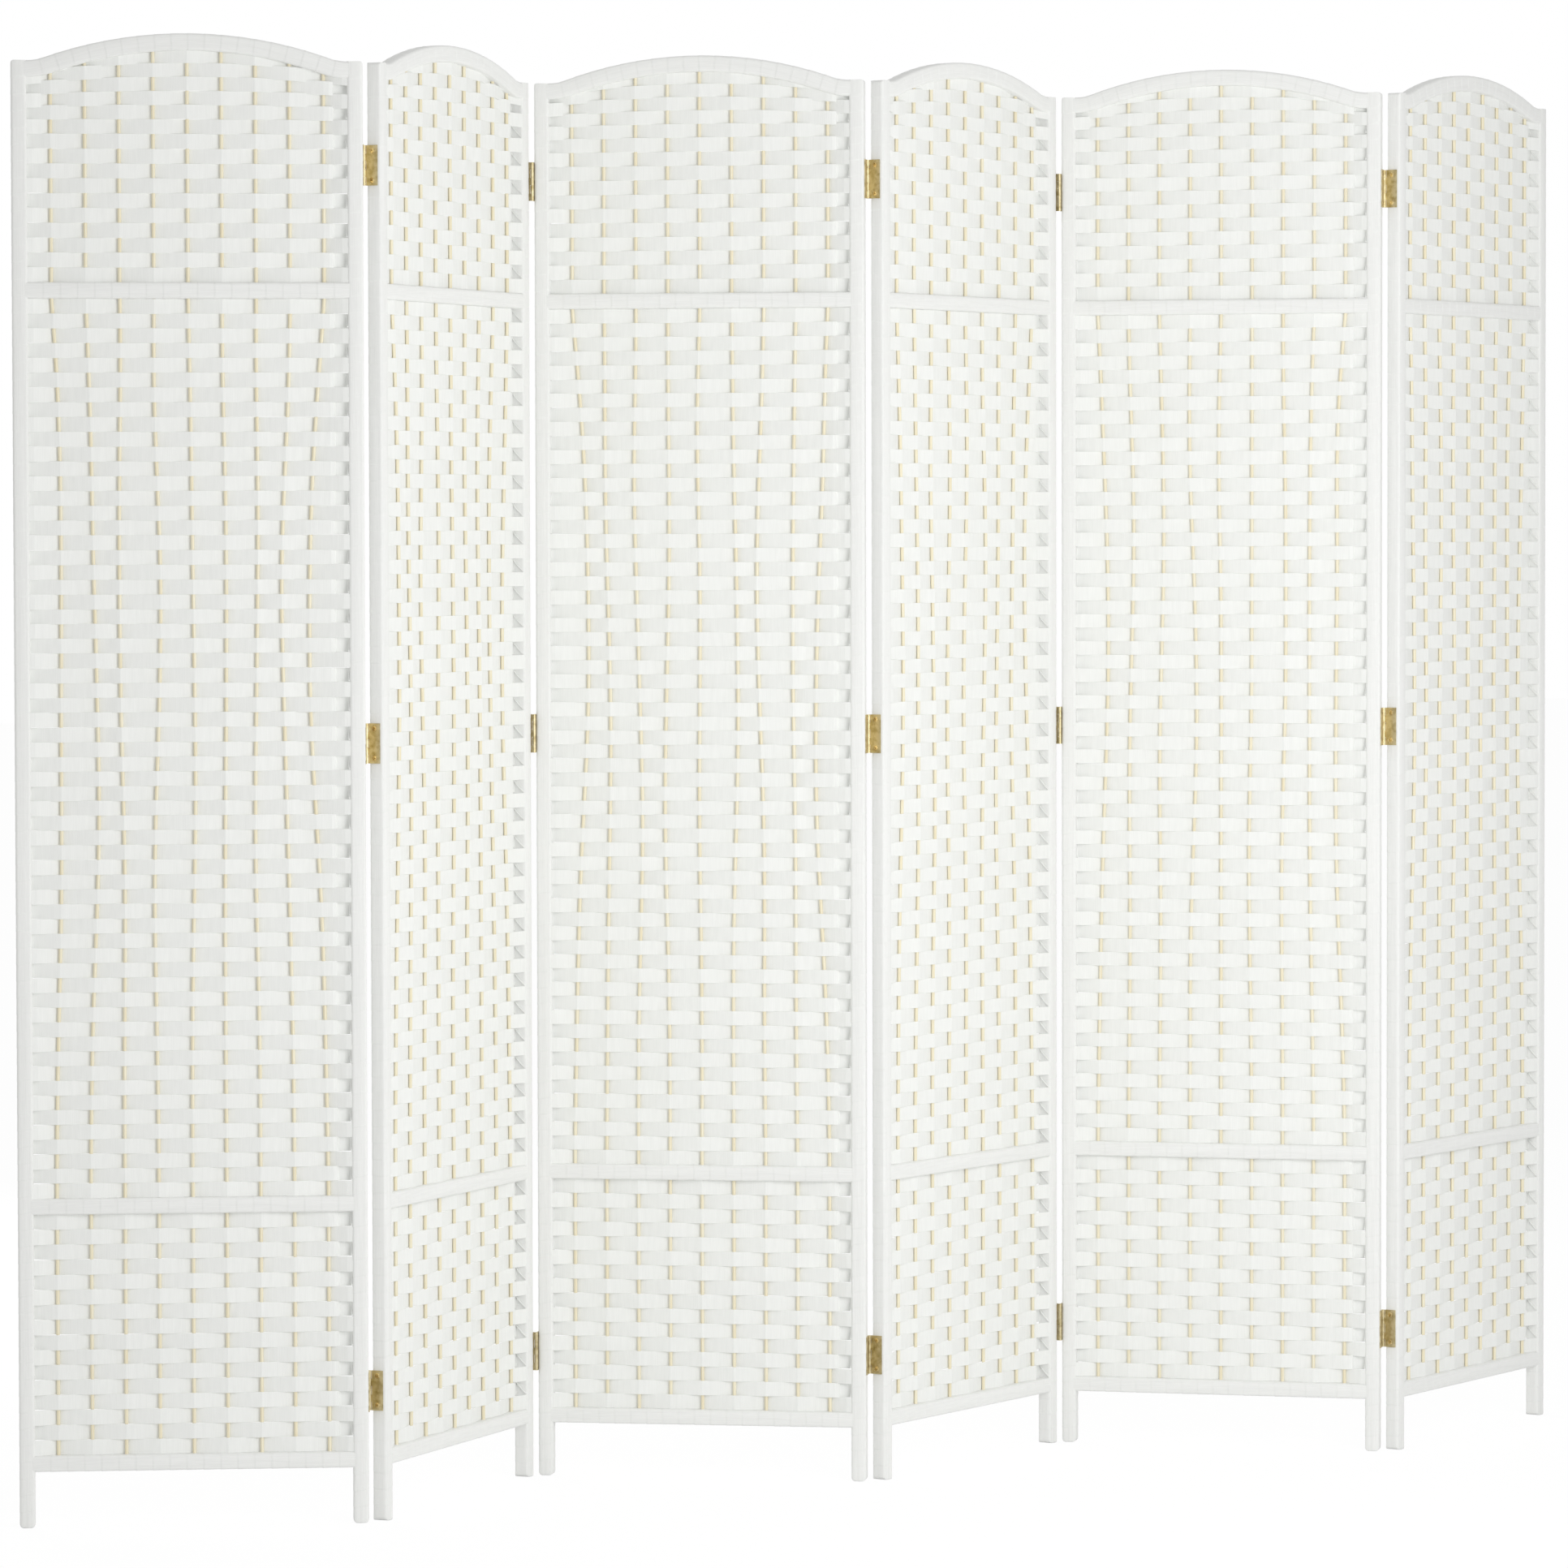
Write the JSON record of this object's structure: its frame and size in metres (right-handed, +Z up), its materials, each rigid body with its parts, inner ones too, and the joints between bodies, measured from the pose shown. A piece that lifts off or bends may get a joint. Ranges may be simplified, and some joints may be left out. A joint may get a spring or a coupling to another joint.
{
  "type": "folding room divider",
  "caption": "Folding room divider: hinged white panels with arched tops, woven flat ribbon on slim rods in wrapped frames, brass butt hinges, standing in a zigzag.",
  "frame": {"origin": "middle of the standing zigzag's box, on the floor", "axes": "+X along the row from the first panel to the last, +Y towards the back, +Z up"},
  "size_m": [2.076, 0.315, 1.7],
  "materials": {
    "wrapped_frame": "wooden frame wrapped in white paper-fibre ribbon, matt",
    "woven_ribbon": "white twisted-paper ribbon with fine ribs, matt",
    "bamboo_rod": "natural bamboo, satin",
    "dowel_wood": "bare beech",
    "hinge_brass": "brass-plated steel, satin",
    "screw_brass": "brass-plated, satin"
  },
  "bodies": {
    "panel_1": {"panel_1_cross_rails": "wrapped_frame", "panel_1_frame_dowels": "dowel_wood", "panel_1_hinge_leaves": "hinge_brass", "panel_1_hinge_screws": "screw_brass", "panel_1_left_stile": "wrapped_frame", "panel_1_right_stile": "wrapped_frame", "panel_1_top_rail": "wrapped_frame", "panel_1_weaving_rods": "bamboo_rod", "panel_1_woven_fields": "woven_ribbon", "hinge_pins_1_to_2": "hinge_brass"},
    "panel_2": {"panel_2_cross_rails": "wrapped_frame", "panel_2_frame_dowels": "dowel_wood", "panel_2_hinge_leaves": "hinge_brass", "panel_2_hinge_screws": "screw_brass", "panel_2_left_stile": "wrapped_frame", "panel_2_right_stile": "wrapped_frame", "panel_2_top_rail": "wrapped_frame", "panel_2_weaving_rods": "bamboo_rod", "panel_2_woven_fields": "woven_ribbon", "hinge_pins_2_to_3": "hinge_brass"},
    "panel_3": {"panel_3_cross_rails": "wrapped_frame", "panel_3_frame_dowels": "dowel_wood", "panel_3_hinge_leaves": "hinge_brass", "panel_3_hinge_screws": "screw_brass", "panel_3_left_stile": "wrapped_frame", "panel_3_right_stile": "wrapped_frame", "panel_3_top_rail": "wrapped_frame", "panel_3_weaving_rods": "bamboo_rod", "panel_3_woven_fields": "woven_ribbon", "hinge_pins_3_to_4": "hinge_brass"},
    "panel_4": {"panel_4_cross_rails": "wrapped_frame", "panel_4_frame_dowels": "dowel_wood", "panel_4_hinge_leaves": "hinge_brass", "panel_4_hinge_screws": "screw_brass", "panel_4_left_stile": "wrapped_frame", "panel_4_right_stile": "wrapped_frame", "panel_4_top_rail": "wrapped_frame", "panel_4_weaving_rods": "bamboo_rod", "panel_4_woven_fields": "woven_ribbon", "hinge_pins_4_to_5": "hinge_brass"},
    "panel_5": {"panel_5_cross_rails": "wrapped_frame", "panel_5_frame_dowels": "dowel_wood", "panel_5_hinge_leaves": "hinge_brass", "panel_5_hinge_screws": "screw_brass", "panel_5_left_stile": "wrapped_frame", "panel_5_right_stile": "wrapped_frame", "panel_5_top_rail": "wrapped_frame", "panel_5_weaving_rods": "bamboo_rod", "panel_5_woven_fields": "woven_ribbon", "hinge_pins_5_to_6": "hinge_brass"},
    "panel_6": {"panel_6_cross_rails": "wrapped_frame", "panel_6_frame_dowels": "dowel_wood", "panel_6_hinge_leaves": "hinge_brass", "panel_6_hinge_screws": "screw_brass", "panel_6_left_stile": "wrapped_frame", "panel_6_right_stile": "wrapped_frame", "panel_6_top_rail": "wrapped_frame", "panel_6_weaving_rods": "bamboo_rod", "panel_6_woven_fields": "woven_ribbon"}
  },
  "joints": [
    {"name": "fold_1_2", "type": "hinge", "parent": "panel_2", "child": "panel_1", "pos_m": [-0.66076, -0.09597, 0.8], "axis": [0, 0, -1], "range_deg": [-61.8, 118.2]},
    {"name": "fold_2_3", "type": "hinge", "parent": "panel_3", "child": "panel_2", "pos_m": [-0.33783, 0.14289, 0.8], "axis": [0, 0, 1], "range_deg": [-75.7, 104.3]},
    {"name": "fold_3_4", "type": "hinge", "parent": "panel_3", "child": "panel_4", "pos_m": [0.00061, -0.07346, 0.8], "axis": [0, 0, 1], "range_deg": [-65.1, 114.9]},
    {"name": "fold_4_5", "type": "hinge", "parent": "panel_4", "child": "panel_5", "pos_m": [0.36197, 0.10192, 0.8], "axis": [0, 0, -1], "range_deg": [-69.8, 110.2]},
    {"name": "fold_5_6", "type": "hinge", "parent": "panel_5", "child": "panel_6", "pos_m": [0.68153, -0.14142, 0.8], "axis": [0, 0, 1], "range_deg": [-70.2, 109.8]}
  ]
}
